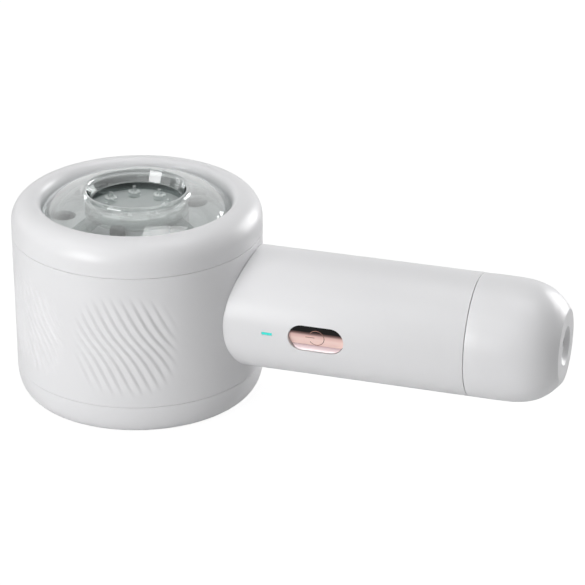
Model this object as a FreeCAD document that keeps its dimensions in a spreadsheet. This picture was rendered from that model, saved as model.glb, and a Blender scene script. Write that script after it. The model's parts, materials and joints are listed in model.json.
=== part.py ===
import FreeCAD, Part
import math
import os
import Sketcher
from FreeCAD import Placement, Rotation, Vector

# A cordless fabric shaver. Millimetres, +Z up. The origin is the centre of the shaving
# foil, flush with the base the shaver stands on; the head's axis is Z and the handle
# runs out along +X, with the power button facing -Y.

doc = FreeCAD.newDocument("fabric_shaver")
sheet = doc.addObject("Spreadsheet::Sheet", "sizes")

driving = {
    # head
    "head_diameter": 80, "head_height": 65, "head_wall": 2.2, "shell_gap": 0.2, "fit_gap": 0.3,
    "cup_height": 11, "ring_height": 9.7, "corner_width": 4.3, "ring_band": 1.3,
    # foil and its lock ring
    "ring_wall": 3.6, "lip_width": 5.4, "lip_thickness": 1.5, "foil_thickness": 0.4,
    "frame_width": 3, "frame_thickness": 1.2, "frame_rim_height": 3, "frame_rim_wall": 1.6,
    "skirt_wall": 2, "skirt_depth": 4.5, "flange_thickness": 1.5,
    # cutter
    "blade_gap": 0.2, "blade_count": 6, "blade_height": 3.2, "blade_thickness": 0.5,
    "blade_tip_gap": 0.6, "hub_disc_radius": 13, "hub_disc_thickness": 1.6, "hub_radius": 6.5,
    "hub_clearance": 1.5, "hex_flats": 7, "hex_gap": 0.15, "cutter_travel": 0.8,
    "cutter_screw_radius": 1, "cutter_screw_head": 2.6, "cutter_screw_head_height": 1.2,
    "drive_flange_radius": 8.6, "drive_flange_thickness": 1.6, "spring_wire": 0.5, "spring_turns": 3,
    # motor
    "deck_thickness": 2, "motor_diameter": 28, "motor_wall": 1, "motor_headroom": 10.1,
    "motor_cap_height": 2.5, "damper_thickness": 1.8, "seat_wall": 1.6, "seat_height": 10,
    "shaft_diameter": 2.3, "bearing_radius": 3, "bearing_length": 2.6, "running_gap": 0.04,
    "magnet_thickness": 2.8, "magnet_margin": 9.4, "armature_gap": 0.6, "armature_margin": 4,
    "commutator_radius": 4, "commutator_length": 4, "lint_port_radius": 5, "lint_port_shift": 0.7,
    "lint_port_count": 8, "deck_screw_radius": 0.9, "deck_screw_head": 1.6, "deck_screw_count": 4,
    "deck_screw_angle": 45, "deck_screw_head_height": 1.1, "magnet_gap_width": 8,
    "terminal_width": 2.4, "terminal_thickness": 0.4, "terminal_height": 3, "terminal_spread": 12,
    # lint cup
    "rim_outer_round": 7.1, "rim_inner_round": 2.4, "rim_width": 9.7, "cup_wall": 2,
    "collar_gap": 1.6, "dome_edge_drop": 4, "dome_lip_rise": 1.8, "dome_lip_radius": 16.65,
    "dome_wall": 1.7, "lip_round": 0.95, "dome_curve": 20, "well_slope": 2.45,
    "well_depth": 3.2, "tray_thickness": 1.1, "tray_port_radius": 4, "tray_port_count": 6,
    "tray_port_angle": 2, "tray_port_shift": 0.9, "pillar_wall": 1.5, "spider_wall": 0.9,
    "spider_height": 2.4, "floor_inset": 0.15, "floor_drop": 3, "floor_thickness": 1.2,
    "rib_width": 4, "rib_slope": 0.28926, "rib_count": 4, "rib_angle": 62, "post_count": 7,
    "post_angle": 64, "post_circle": 10, "post_radius": 2.1,
    "post_height": 1.8, "post_tip_radius": 0.7, "post_tip_height": 1.7,
    "boss_reach": 2.5, "boss_radius": 2.6, "boss_height": 2.2, "boss_front_angle": -88,
    "boss_right_angle": -28, "boss_back_angle": 152, "cup_screw_radius": 1.1, "cup_screw_head": 2,
    "cup_screw_head_height": 1.4, "seal_width": 1.4, "seal_shift": 0.2,
    # handle
    "handle_diameter": 38.9, "nut_clearance": 0.9, "handle_wall": 1.9, "overall_length": 180,
    "collar_inset": 1.95, "collar_wall": 1.8, "collar_flange": 3, "nut_width": 2.4,
    "nut_length": 3, "cell_inset": 8.4, "cell_offset": 3.5, "cell_clearance": 7.2,
    "cell_reach": 0.2, "tab_thickness": 0.3, "tab_width": 7, "tab_height": 6,
    "carrier_wall": 1.5, "board_thickness": 1.2, "board_short": 13, "board_half_width": 9,
    "board_screw_radius": 1, "board_screw_head": 1.9, "board_screw_head_height": 1.2,
    "board_screw_inset": 4, "board_screw_offset": 6.5,
    # tail cap and charging port
    "tail_length": 28, "tail_straight": 5.3, "tail_taper": 7.89, "tail_wall": 2.3,
    "tail_spigot_depth": 6, "tail_spigot_wall": 1.5, "dish_radius": 6.2, "dish_depth": 1.5,
    "port_width": 8.94, "port_thickness": 3.2, "port_shell": 0.3, "port_length": 7.3,
    "tongue_length": 5, "tongue_width": 6.6, "tongue_thickness": 0.7, "port_board_length": 12,
    "port_board_width": 14,
    # button and status light
    "button_reach": 25.3, "button_length": 18, "button_width": 8.6, "button_gap": 0.15,
    "button_recess": 0.35, "button_travel": 0.5, "button_flange": 1.1, "flange_width": 2,
    "flange_gap": 0.0306, "switch_gap": 1, "switch_size": 6, "switch_depth": 3.4,
    "plunger_radius": 1.6, "light_reach": 9.45, "light_length": 3.2, "light_width": 0.7,
}


class Size:
    # A sheet expression and its present value, so that plain arithmetic stays bound to the sheet.
    def __init__(self, text, number):
        self.text = text
        self.number = number

    def joined(self, other, sign, number):
        return Size("(%s %s %s)" % (self.text, sign, as_size(other).text), number)

    def __add__(self, other):
        return self.joined(other, "+", self.number + as_size(other).number)

    def __sub__(self, other):
        return self.joined(other, "-", self.number - as_size(other).number)

    def __mul__(self, other):
        return self.joined(other, "*", self.number * as_size(other).number)

    def __truediv__(self, other):
        return self.joined(other, "/", self.number / as_size(other).number)

    def __radd__(self, other):
        return as_size(other) + self

    def __rsub__(self, other):
        return as_size(other) - self

    def __rmul__(self, other):
        return as_size(other) * self

    def __rtruediv__(self, other):
        return as_size(other) / self

    def __neg__(self):
        return as_size(0) - self


def as_size(thing):
    return thing if isinstance(thing, Size) else Size(repr(thing), float(thing))


def root(size):
    return Size("sqrt(%s)" % size.text, math.sqrt(size.number))


class Cells:
    # The sheet's driving values, read by name.
    def __init__(self, values):
        for row, (name, number) in enumerate(values.items(), start=1):
            sheet.set("A%d" % row, name)
            sheet.set("B%d" % row, str(number))
            sheet.setAlias("B%d" % row, name)
            setattr(self, name, Size("sizes." + name, float(number)))


s = Cells(driving)
doc.recompute()


# Building blocks.

def bind(thing, path, size):
    thing.setExpression(path, as_size(size).text)


def place(thing, x=0, y=0, z=0, rotation=None):
    if rotation:
        thing.Placement = Placement(Vector(), rotation)
    for axis, size in (("x", x), ("y", y), ("z", z)):
        bind(thing, "Placement.Base." + axis, size)
    return thing


turns = {
    "z": Rotation(),
    "x": Rotation(Vector(0, 1, 0), 90),
    "y": Rotation(Vector(1, 0, 0), -90),
}


def rod(label, radius, start, length, along="z", at=(0, 0)):
    # A round bar along one axis; "at" holds its two other coordinates, in X, Y, Z order.
    bar = doc.addObject("Part::Cylinder", label)
    bind(bar, "Radius", radius)
    bind(bar, "Height", length)
    spot = {
        "z": (at[0], at[1], start),
        "x": (start, at[0], at[1]),
        "y": (at[0], start, at[1]),
    }[along]
    return place(bar, *spot, rotation=turns[along])


def block(label, low, size):
    box = doc.addObject("Part::Box", label)
    for name, length in zip(("Length", "Width", "Height"), size):
        bind(box, name, length)
    return place(box, *low)


def hexagon(label, flats, start, length):
    prism = doc.addObject("Part::Prism", label)
    prism.Polygon = 6
    bind(prism, "Circumradius", flats / root(as_size(3)))
    bind(prism, "Height", length)
    return place(prism, 0, 0, start)


def fused(label, *pieces):
    whole = doc.addObject("Part::MultiFuse", label)
    whole.Shapes = list(pieces)
    whole.Refine = True
    return whole


def cut(label, base, *tools):
    rest = doc.addObject("Part::Cut", label)
    rest.Base = base
    rest.Tool = tools[0] if len(tools) == 1 else fused(label + "_tools", *tools)
    rest.Refine = True
    return rest


def group(label, *pieces):
    whole = doc.addObject("Part::Compound", label)
    whole.Links = list(pieces)
    return whole


def pipe(label, outer, inner, start, length, along="z", at=(0, 0)):
    solid = rod(label + "_outside", outer, start, length, along, at)
    bore = rod(label + "_bore", inner, start - 1, length + 2, along, at)
    return cut(label, solid, bore)


def obround(label, length, width, start, depth, centre, along="y"):
    # A bar with round ends, lying along X where it is cut through Y, or along Y for X.
    half = (length - width) / 2
    if along == "y":
        ends = [(centre[0] - half, centre[1]), (centre[0] + half, centre[1])]
        middle = block(label + "_middle", (centre[0] - half, start, centre[1] - width / 2),
                       (half * 2, depth, width))
    else:
        ends = [(centre[0] - half, centre[1]), (centre[0] + half, centre[1])]
        middle = block(label + "_middle", (start, centre[0] - half, centre[1] - width / 2),
                       (depth, half * 2, width))
    rounds = [rod("%s_end_%d" % (label, i), width / 2, start, depth, along, end)
              for i, end in enumerate(ends)]
    return fused(label, middle, *rounds)


def attach(sketch, body):
    # Lays a sketch on its own body's XZ plane.
    plane = [p for p in body.Origin.OriginFeatures if p.Role == "XZ_Plane"][0]
    sketch.AttachmentSupport = [(plane, "")]
    sketch.MapMode = "FlatFace"


def arc_of(start, end, radius, side):
    # The circle arc from start to end that bulges to the left (1) or right (-1) of the way.
    (ax, ay), (bx, by) = start, end
    span = math.hypot(bx - ax, by - ay)
    height = math.sqrt(radius * radius - span * span / 4)
    cx = (ax + bx) / 2 + side * height * (by - ay) / span
    cy = (ay + by) / 2 - side * height * (bx - ax) / span
    first = math.atan2(ay - cy, ax - cx)
    last = math.atan2(by - cy, bx - cx)
    if side > 0:
        first, last = last, first
    while last < first:
        last += 2 * math.pi
    circle = Part.Circle(Vector(cx, cy, 0), Vector(0, 0, 1), radius)
    return Part.ArcOfCircle(circle, first, last)


def turned(label, outline, axis="V_Axis", height=0):
    # A PartDesign body turned from a closed outline in the XZ plane. Each corner is
    # (across, up), or (across, up, radius, side) where an arc leads to it.
    body = doc.addObject("PartDesign::Body", label)
    sketch = body.newObject("Sketcher::SketchObject", label + "_outline")
    attach(sketch, body)
    count = len(outline)
    spots = [tuple(as_size(v).number for v in corner[:2]) for corner in outline]
    starts = []
    ends = []
    for i, corner in enumerate(outline):
        before, here = spots[i - 1], spots[i]
        if len(corner) == 4:
            radius, side = as_size(corner[2]), corner[3]
            edge = sketch.addGeometry(arc_of(before, here, radius.number, side))
            sketch.addConstraint(Sketcher.Constraint("Radius", edge, radius.number))
            sketch.setExpression("Constraints[%d]" % (sketch.ConstraintCount - 1), radius.text)
            starts.append((edge, 2 if side > 0 else 1))
            ends.append((edge, 1 if side > 0 else 2))
        else:
            edge = sketch.addGeometry(Part.LineSegment(Vector(*before, 0), Vector(*here, 0)))
            starts.append((edge, 1))
            ends.append((edge, 2))
    for i, corner in enumerate(outline):
        follow = starts[(i + 1) % count]
        sketch.addConstraint(Sketcher.Constraint("Coincident", *ends[i], *follow))
        for kind, axis_line, size in (("DistanceX", -2, corner[0]), ("DistanceY", -1, corner[1])):
            size = as_size(size)
            if size.number == 0:
                sketch.addConstraint(Sketcher.Constraint("PointOnObject", *ends[i], axis_line))
                continue
            sketch.addConstraint(Sketcher.Constraint(kind, *ends[i], size.number))
            sketch.setExpression("Constraints[%d]" % (sketch.ConstraintCount - 1), size.text)
    turn = body.newObject("PartDesign::Revolution", label + "_turn")
    turn.Profile = sketch
    turn.ReferenceAxis = (sketch, [axis])
    turn.Angle = 360
    sketch.Visibility = False
    bind(body, "Placement.Base.z", height)
    doc.recompute()
    return body


def rounded(body, radius, across, up):
    # Rounds the circular edge of a turned body that lies at this radius and height.
    last = body.Tip
    names = []
    for i, edge in enumerate(last.Shape.Edges, start=1):
        box = edge.BoundBox
        flat = box.ZLength < 0.01 and abs(box.ZMin - as_size(up).number) < 0.01
        if flat and abs(box.XMax - as_size(across).number) < 0.01:
            names.append("Edge%d" % i)
    fillet = body.newObject("PartDesign::Fillet", "%s_round_%s" % (body.Label, len(body.Group)))
    fillet.Base = (last, names)
    bind(fillet, "Radius", radius)
    doc.recompute()
    return body


def around(count, first, circle):
    # Centres of "count" things on a circle about Z, as sheet expressions.
    spots = []
    for i in range(int(as_size(count).number)):
        angle = as_size(first) + i * (360 / as_size(count))
        spots.append(on_circle(angle, circle))
    return spots


def on_circle(angle, circle):
    angle, circle = as_size(angle), as_size(circle)
    turn = math.radians(angle.number)
    across = Size("(%s * cos(%s * 1 deg))" % (circle.text, angle.text), circle.number * math.cos(turn))
    along = Size("(%s * sin(%s * 1 deg))" % (circle.text, angle.text), circle.number * math.sin(turn))
    return across, along


# Shared places.

head_radius = s.head_diameter / 2
shell_inner = head_radius - s.head_wall
shell_bottom = s.ring_height + s.shell_gap
corner_height = s.ring_height - s.ring_band
ring_inner = head_radius - s.ring_wall
lip_radius = ring_inner - s.lip_width
frame_inner_radius = lip_radius - s.frame_width
skirt_radius = ring_inner - s.fit_gap
flange_top = shell_bottom + s.flange_thickness
deck_top = flange_top + s.deck_thickness
cup_seam_height = s.head_height - s.cup_height
cup_bottom = cup_seam_height + s.shell_gap / 2
shell_top = cup_seam_height - s.shell_gap / 2
spigot_radius = shell_inner - s.fit_gap
spigot_inner = spigot_radius - s.head_wall
motor_radius = s.motor_diameter / 2
motor_bottom = deck_top + s.shell_gap
motor_length = cup_bottom - s.motor_headroom - motor_bottom
motor_top = motor_bottom + motor_length
magnet_length = motor_length - s.magnet_margin
armature_length = magnet_length - s.armature_margin
shaft_radius = s.shaft_diameter / 2
seat_inner = motor_radius + s.damper_thickness + s.shell_gap / 2
seat_outer = seat_inner + s.seat_wall
lint_port_circle = (seat_outer + skirt_radius - s.skirt_wall) / 2 + s.lint_port_shift
rim_inner_radius = head_radius - s.rim_width
dome_edge_height = s.head_height - s.dome_edge_drop
dome_lip_height = s.head_height + s.dome_lip_rise
well_radius = s.dome_lip_radius - s.well_slope
well_bottom_height = dome_lip_height - s.well_depth
floor_radius = s.dome_lip_radius - s.floor_inset
floor_top_height = well_bottom_height - s.floor_drop
tray_port_circle = (spigot_inner + floor_radius) / 2 - s.tray_port_shift
handle_radius = s.handle_diameter / 2
handle_inner = handle_radius - s.handle_wall
tail_end = s.overall_length - head_radius
handle_end = tail_end - s.tail_length
tail_face_radius = handle_radius - s.tail_taper
collar_outer_radius = handle_inner - s.collar_inset
nut_radius = collar_outer_radius + s.nut_width
handle_height = deck_top + s.nut_clearance + nut_radius
spigot_low = handle_height + collar_outer_radius + s.collar_gap
cell_start = head_radius + s.cell_clearance
cell_length = handle_end + s.cell_reach - cell_start
cell_radius = handle_inner - s.cell_inset
button_centre = head_radius + s.button_reach
light_centre = head_radius + s.light_reach
flange_half = (s.button_width + s.flange_width) / 2
flange_front = root(handle_inner * handle_inner - flange_half * flange_half) - s.flange_gap
switch_front = flange_front - s.button_flange - s.switch_gap
board_front = switch_front - s.switch_depth
axis_y = as_size(0)
handle_axis = (axis_y, handle_height)


# Head.

def make_head_shell():
    turned_shell = turned("head_shell_turned", [
        (head_radius, shell_bottom), (head_radius, shell_top), (shell_inner, shell_top),
        (shell_inner, flange_top), (skirt_radius - s.skirt_wall, flange_top),
        (skirt_radius - s.skirt_wall, shell_bottom - s.skirt_depth),
        (skirt_radius, shell_bottom - s.skirt_depth), (skirt_radius, shell_bottom)])
    opening = rod("head_shell_opening", collar_outer_radius + s.fit_gap, 0, head_radius + 5,
                  "x", handle_axis)
    screw_holes = [rod("head_shell_screw_hole_%d" % i, s.deck_screw_radius + s.running_gap,
                       shell_bottom - 1, s.flange_thickness + 2, "z", spot)
                   for i, spot in enumerate(deck_screw_spots())]
    return cut("head_shell", turned_shell, opening, *screw_holes)


def deck_screw_spots():
    return around(s.deck_screw_count, s.deck_screw_angle,
                  (shell_inner + skirt_radius - s.skirt_wall) / 2)


def make_motor_deck():
    plate = turned("motor_deck_turned", [
        (s.bearing_radius + 2, flange_top), (shell_inner - s.shell_gap, flange_top),
        (shell_inner - s.shell_gap, deck_top), (seat_outer, deck_top),
        (seat_outer, deck_top + s.seat_height), (seat_inner, deck_top + s.seat_height),
        (seat_inner, deck_top), (s.bearing_radius + 2, deck_top)])
    ports = [rod("motor_deck_port_%d" % i, s.lint_port_radius, flange_top - 1, s.deck_thickness + 2,
                 "z", spot)
             for i, spot in enumerate(around(s.lint_port_count, 0, lint_port_circle))]
    screw_holes = [rod("motor_deck_screw_hole_%d" % i, s.deck_screw_radius + s.running_gap,
                       flange_top - 1, s.deck_thickness + 2, "z", spot)
                   for i, spot in enumerate(deck_screw_spots())]
    return cut("motor_deck", plate, *ports, *screw_holes)


def make_deck_screws():
    screws = []
    for i, spot in enumerate(deck_screw_spots()):
        shank = rod("deck_screw_shank_%d" % i, s.deck_screw_radius, shell_bottom + 0.1,
                    deck_top - shell_bottom - 0.1, "z", spot)
        head = rod("deck_screw_head_%d" % i, s.deck_screw_head, deck_top, s.deck_screw_head_height, "z", spot)
        screws.append(fused("deck_screw_%d" % i, shank, head))
    return group("deck_screws", *screws)


# Motor.

def make_motor():
    inner = motor_radius - s.motor_wall
    bearing_hole = s.bearing_radius + s.running_gap
    can = turned("motor_can", [
        (bearing_hole, motor_bottom), (motor_radius, motor_bottom), (motor_radius, motor_top),
        (inner, motor_top), (inner, motor_bottom + s.motor_wall),
        (bearing_hole, motor_bottom + s.motor_wall)])
    cap_bore = shaft_radius + s.running_gap
    neck = s.bearing_radius
    cap = turned("motor_end_cap", [
        (0, motor_top + s.motor_cap_height), (0, motor_top + 1), (cap_bore, motor_top + 1),
        (cap_bore, motor_top - 1.5), (neck, motor_top - 1.5), (neck, motor_top),
        (motor_radius, motor_top), (motor_radius, motor_top + s.motor_cap_height)])
    bearing = pipe("motor_bearing", s.bearing_radius, shaft_radius + s.running_gap,
                   motor_bottom - 0.4, s.bearing_length)
    damper = pipe("motor_damper", motor_radius + s.damper_thickness, motor_radius + 0.05,
                  motor_bottom, s.seat_height - 1)
    ring = pipe("magnet_ring", inner - 0.05, inner - s.magnet_thickness,
                motor_bottom + 4, magnet_length)
    gap = block("magnet_gap", (-motor_radius, -s.magnet_gap_width / 2, motor_bottom),
                (s.motor_diameter, s.magnet_gap_width, motor_length))
    magnets = cut("motor_magnets", ring, gap)
    blades = [block("motor_terminal_%d" % i,
                    (-s.terminal_width / 2, side * s.terminal_spread / 2 - s.terminal_thickness / 2,
                     motor_top + s.motor_cap_height),
                    (s.terminal_width, s.terminal_thickness, s.terminal_height))
              for i, side in enumerate((-1, 1))]
    terminals = group("motor_terminals", *blades)
    return [can, cap, bearing, damper, magnets, terminals]


def make_rotor():
    # The shaft with what is pressed on it: armature, commutator and the cutter's drive hub.
    hub_low = web_top() + s.cutter_travel + 0.2
    hub_high = drive_top() - s.drive_flange_thickness
    shaft_low = hub_low + 4
    shaft = rod("motor_shaft", shaft_radius, shaft_low, motor_top + 0.8 - shaft_low)
    core_radius = motor_radius - s.motor_wall - s.magnet_thickness - s.armature_gap
    core_low = motor_bottom + 6
    armature = pipe("motor_armature", core_radius, shaft_radius, core_low, armature_length)
    commutator = pipe("motor_commutator", s.commutator_radius, shaft_radius,
                      core_low + armature_length + 0.5, s.commutator_length)
    drive = fused("drive_hub_solid", hexagon("drive_hex", s.hex_flats, hub_low, hub_high - hub_low),
                  rod("drive_flange", s.drive_flange_radius, hub_high, s.drive_flange_thickness))
    drive_hub = cut("drive_hub", drive,
                    rod("drive_bore", shaft_radius, shaft_low - 0.1, motor_bottom),
                    rod("drive_thread", s.cutter_screw_radius, 0, shaft_low))
    head_low = hub_bottom() + 0.1
    head = rod("cutter_screw_head", s.cutter_screw_head, head_low, s.cutter_screw_head_height)
    shank_low = head_low + s.cutter_screw_head_height
    shank = rod("cutter_screw_shank", s.cutter_screw_radius, shank_low, shaft_low - 0.2 - shank_low)
    return [shaft, armature, commutator, drive_hub, fused("cutter_screw", head, shank)]


# Cutter.

def blade_bottom():
    return s.foil_thickness + s.blade_gap


def hub_bottom():
    return blade_bottom() + 0.2


def web_bottom():
    return hub_bottom() + 0.1 + s.cutter_screw_head_height + 0.2


def web_top():
    return web_bottom() + 1


def drive_top():
    return flange_top - 0.6


def make_cutter():
    low, high = hub_bottom(), drive_top() - s.drive_flange_thickness - s.hub_clearance
    disc_low = blade_bottom() + s.blade_height
    disc_high = disc_low + s.hub_disc_thickness
    recess = s.cutter_screw_head + 0.6
    hub_solid = turned("blade_hub_turned", [
        (s.cutter_screw_radius + 0.5, web_bottom()), (recess, web_bottom()), (recess, low),
        (s.hub_radius, low), (s.hub_radius, disc_low), (s.hub_disc_radius, disc_low),
        (s.hub_disc_radius, disc_high), (s.hub_radius, disc_high), (s.hub_radius, high),
        (s.cutter_screw_radius + 0.5, high)])
    socket = hexagon("blade_hub_socket", s.hex_flats + 2 * s.hex_gap, web_top(), high)
    hub = cut("blade_hub", hub_solid, socket)
    reach = frame_inner_radius - s.blade_tip_gap
    blades = []
    for i in range(int(s.blade_count.number)):
        blade = block("cutter_blade_%d" % i, (s.hub_radius, -s.blade_thickness / 2, blade_bottom()),
                      (reach - s.hub_radius, s.blade_thickness, s.blade_height))
        spin = doc.addObject("Part::Compound", "cutter_blade_turned_%d" % i)
        spin.Links = [blade]
        spin.Placement = Placement(Vector(), Rotation(Vector(0, 0, 1), i * 360 / s.blade_count.number))
        blades.append(spin)
    spring_radius = s.hub_radius + 0.6 + s.spring_wire / 2
    rest_height = drive_top() - s.drive_flange_thickness - disc_high
    wire_low = disc_high + s.spring_wire / 2 + 0.05
    climb = rest_height - s.spring_wire - 0.1
    spring = coil_spring("blade_spring", spring_radius, s.spring_wire / 2, wire_low, climb,
                         s.spring_turns)
    return [hub, group("cutter_blades", *blades), spring]


def coil_spring(label, radius, wire_radius, low, climb, coils):
    body = doc.addObject("PartDesign::Body", label)
    sketch = body.newObject("Sketcher::SketchObject", label + "_wire")
    attach(sketch, body)
    circle = Part.Circle(Vector(radius.number, 0, 0), Vector(0, 0, 1), wire_radius.number)
    sketch.addGeometry(circle)
    sketch.addConstraint(Sketcher.Constraint("PointOnObject", 0, 3, -1))
    for kind, size in (("DistanceX", radius), ("Radius", wire_radius)):
        where = (0, 3) if kind == "DistanceX" else (0,)
        sketch.addConstraint(Sketcher.Constraint(kind, *where, size.number))
        sketch.setExpression("Constraints[%d]" % (sketch.ConstraintCount - 1), size.text)
    helix = body.newObject("PartDesign::AdditiveHelix", label + "_coil")
    helix.Profile = sketch
    helix.ReferenceAxis = (sketch, ["V_Axis"])
    helix.Mode = "pitch-height-angle"
    bind(helix, "Pitch", climb / coils)
    bind(helix, "Height", climb)
    bind(body, "Placement.Base.z", low)
    doc.recompute()
    return body


# Foil and lock ring.

def make_foil_ring():
    width, height = s.corner_width, corner_height
    share = 1 - math.sqrt(0.5)
    flank = head_radius - width * share
    knee = height * share
    low_across, low_up = width * (1 - share), height * share
    high_across, high_up = width * share, height * (1 - share)
    lower = (low_across * low_across + low_up * low_up) / (2 * low_up)
    upper = (high_across * high_across + high_up * high_up) / (2 * high_across)
    ring = turned("foil_lock_ring", [
        (lip_radius, 0), (head_radius - width, 0), (flank, knee, lower, -1),
        (head_radius, height, upper, -1), (head_radius, s.ring_height),
        (ring_inner, s.ring_height), (ring_inner, s.lip_thickness), (lip_radius, s.lip_thickness)])
    outer = ring_inner - s.fit_gap
    seat = s.lip_thickness + 0.1
    foil_radius = lip_radius - s.fit_gap
    frame = turned("foil_frame", [
        (frame_inner_radius, s.foil_thickness), (foil_radius, s.foil_thickness),
        (foil_radius, seat), (outer, seat), (outer, seat + s.frame_rim_height),
        (outer - s.frame_rim_wall, seat + s.frame_rim_height),
        (outer - s.frame_rim_wall, seat + s.frame_thickness),
        (frame_inner_radius, seat + s.frame_thickness)])
    foil = rod("foil_mesh", foil_radius, 0, s.foil_thickness)
    return [ring, frame, foil]


# Lint cup.

def make_cup():
    roof = s.head_height - s.cup_wall - 0.6
    inner = rim_inner_radius + s.cup_wall
    rim = turned("cup_rim", [
        (spigot_inner, spigot_low), (spigot_radius, spigot_low),
        (spigot_radius, cup_bottom), (head_radius, cup_bottom), (head_radius, s.head_height),
        (rim_inner_radius, s.head_height), (rim_inner_radius, dome_edge_height - 2),
        (inner, dome_edge_height - 2), (inner, roof), (spigot_inner, roof)])
    rounded(rim, s.rim_outer_round, head_radius, s.head_height)
    rounded(rim, s.rim_inner_round, rim_inner_radius, s.head_height)

    edge = rim_inner_radius - s.shell_gap
    skirt_inner = edge - s.dome_wall
    dome_bottom = cup_bottom + s.tray_thickness + 0.1
    lip_outer = s.dome_lip_radius + s.lip_round
    lip_inner = s.dome_lip_radius - s.lip_round
    dome_turned = turned("cup_dome", [
        (edge, dome_bottom), (edge, dome_edge_height),
        (lip_outer, dome_lip_height, s.dome_curve, -1),
        (lip_inner, dome_lip_height, s.lip_round * 1.001, -1),
        (well_radius, well_bottom_height), (well_radius + 1.2, well_bottom_height - 0.4),
        (s.dome_lip_radius + 0.1, dome_lip_height - 1.5),
        (skirt_inner, dome_edge_height - 0.8, s.dome_curve, 1), (skirt_inner, dome_bottom)])

    floor_low = floor_top_height - s.floor_thickness
    floor = rod("cup_floor", floor_radius, floor_low, s.floor_thickness)

    ring_low = floor_top_height
    ring = pipe("cup_spider_ring", floor_radius, floor_radius - s.spider_wall, ring_low,
                s.spider_height)
    fins = []
    slope_start, slope_end = dome_lip_height - 2.9, dome_edge_height - 1.4
    fin_in, fin_out = floor_radius - 0.4, skirt_inner - 0.2
    for i in range(int(s.rib_count.number)):
        fin = fin_body("cup_fin_%d" % i, fin_in, fin_out, ring_low, slope_start, slope_end)
        turn = s.rib_angle.number + 360 / s.rib_count.number * i
        fin.Placement = Placement(Vector(), Rotation(Vector(0, 0, 1), turn))
        fins.append(fin)
    spider = fused("cup_spider", ring, *fins)

    posts = []
    for i, spot in enumerate(around(s.post_count, s.post_angle, s.post_circle)):
        stub = rod("vent_post_stub_%d" % i, s.post_radius, floor_top_height, s.post_height, "z", spot)
        tip = rod("vent_post_tip_%d" % i, s.post_tip_radius, floor_top_height + s.post_height,
                  s.post_tip_height, "z", spot)
        posts.append(fused("vent_post_%d" % i, stub, tip))
    vent_posts = group("vent_posts", *posts)

    tray_disc = rod("cup_tray_disc", spigot_inner - 0.1, cup_bottom, s.tray_thickness)
    ports = [rod("cup_tray_port_%d" % i, s.tray_port_radius, cup_bottom - 1, s.tray_thickness + 2,
                 "z", spot)
             for i, spot in enumerate(around(s.tray_port_count, s.tray_port_angle,
                                         tray_port_circle))]
    tray_base = cut("cup_tray_plate", tray_disc, *ports)
    tray_top = cup_bottom + s.tray_thickness
    bosses = []
    screws = []
    for i, angle in enumerate((s.boss_front_angle, s.boss_right_angle, s.boss_back_angle)):
        spot = on_circle(angle, floor_radius + s.boss_reach)
        bosses.append(pipe("cup_boss_%d" % i, s.boss_radius, s.cup_screw_radius, tray_top - 0.2,
                           s.boss_height + 0.2, "z", spot))
        shank = rod("cup_screw_shank_%d" % i, s.cup_screw_radius, tray_top, s.boss_height, "z", spot)
        head = rod("cup_screw_head_%d" % i, s.cup_screw_head, tray_top + s.boss_height,
                   s.cup_screw_head_height, "z", spot)
        screws.append(fused("cup_screw_%d" % i, shank, head))
    pillar = pipe("cup_tray_pillar", floor_radius, floor_radius - s.pillar_wall, tray_top - 0.2,
                  floor_low - tray_top + 0.2)
    tray = fused("cup_tray", tray_base, pillar, *bosses)

    seal_low = (spigot_low + cup_bottom - s.seal_width) / 2 - s.seal_shift
    seal = pipe("cup_seal", shell_inner - 0.1, spigot_radius, seal_low, s.seal_width)
    return [rim, dome_turned, floor, spider, vent_posts, tray, group("cup_screws", *screws), seal]


def fin_body(label, fin_in, fin_out, low, slope_start, slope_end):
    # One radial rib: a four-cornered side view padded evenly about the XZ plane.
    body = doc.addObject("PartDesign::Body", label)
    sketch = body.newObject("Sketcher::SketchObject", label + "_side")
    attach(sketch, body)
    inner_low = low + 0.3
    outer_low = inner_low - (fin_out - fin_in) * s.rib_slope
    corners = [(fin_in, inner_low), (fin_out, outer_low), (fin_out, slope_end), (fin_in, slope_start)]
    spots = [Vector(a.number, b.number, 0) for a, b in corners]
    for i in range(4):
        sketch.addGeometry(Part.LineSegment(spots[i], spots[(i + 1) % 4]))
    for i, corner in enumerate(corners):
        sketch.addConstraint(Sketcher.Constraint("Coincident", (i - 1) % 4, 2, i, 1))
        for kind, size in zip(("DistanceX", "DistanceY"), corner):
            sketch.addConstraint(Sketcher.Constraint(kind, i, 1, size.number))
            sketch.setExpression("Constraints[%d]" % (sketch.ConstraintCount - 1), size.text)
    pad = body.newObject("PartDesign::Pad", label + "_pad")
    pad.Profile = sketch
    pad.Midplane = True
    bind(pad, "Length", s.rib_width)
    doc.recompute()
    return body


# Handle.

def button_hole(label, grow, start, depth):
    return obround(label, s.button_length + grow, s.button_width + grow, start, depth,
                   (button_centre, handle_height))


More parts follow.
